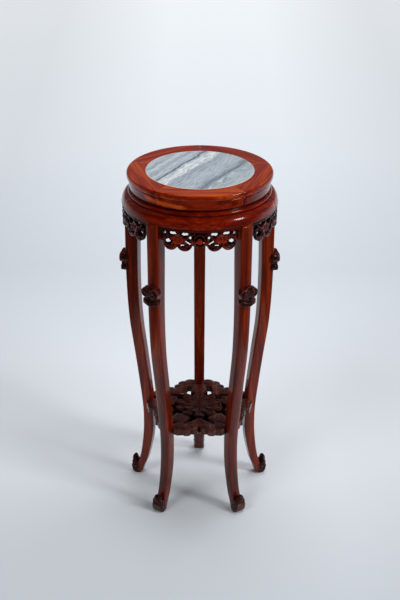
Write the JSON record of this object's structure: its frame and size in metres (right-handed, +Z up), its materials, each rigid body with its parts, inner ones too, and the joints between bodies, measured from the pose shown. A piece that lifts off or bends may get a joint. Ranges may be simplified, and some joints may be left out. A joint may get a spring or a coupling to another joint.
{
  "type": "plant stand",
  "caption": "Round carved hardwood plant stand: marble disc in a moulded ring, waist and cornice, pierced aprons, swept legs with scroll feet and a lobed lower shelf.",
  "frame": {"origin": "on the floor, under the centre of the top", "axes": "+Z up, +Y towards the back leg (leg 1), +X to the right seen from the front"},
  "size_m": [0.3676, 0.3583, 0.8],
  "materials": {
    "grey_marble": "polished, veined",
    "polished_rosewood": "gloss lacquer over red-brown grain",
    "dark_rosewood": "gloss lacquer over dark grain",
    "carved_rosewood": "carved, lacquered, dark in the hollows",
    "plain_hardwood": "planed, unfinished"
  },
  "bodies": {
    "root": {"marble_disc": "grey_marble", "top_ring_loose_tenons": "plain_hardwood", "cornice_loose_tenons": "plain_hardwood", "front_batten": "plain_hardwood", "back_batten": "plain_hardwood", "lower_shelf": "carved_rosewood", "top_ring_segment_1": "polished_rosewood", "top_ring_segment_2": "polished_rosewood", "top_ring_segment_3": "polished_rosewood", "top_ring_segment_4": "polished_rosewood", "top_ring_segment_5": "polished_rosewood", "waist_segment_1": "polished_rosewood", "waist_segment_2": "polished_rosewood", "waist_segment_3": "polished_rosewood", "waist_segment_4": "polished_rosewood", "waist_segment_5": "polished_rosewood", "cornice_segment_1": "polished_rosewood", "cornice_segment_2": "polished_rosewood", "cornice_segment_3": "polished_rosewood", "cornice_segment_4": "polished_rosewood", "cornice_segment_5": "polished_rosewood", "apron_1": "carved_rosewood", "apron_2": "carved_rosewood", "apron_3": "carved_rosewood", "apron_4": "carved_rosewood", "apron_5": "carved_rosewood", "leg_1": "dark_rosewood", "leg_2": "dark_rosewood", "leg_3": "dark_rosewood", "leg_4": "dark_rosewood", "leg_5": "dark_rosewood", "knee_carving_1": "carved_rosewood", "knee_carving_2": "carved_rosewood", "knee_carving_3": "carved_rosewood", "knee_carving_4": "carved_rosewood", "knee_carving_5": "carved_rosewood"}
  },
  "joints": []
}
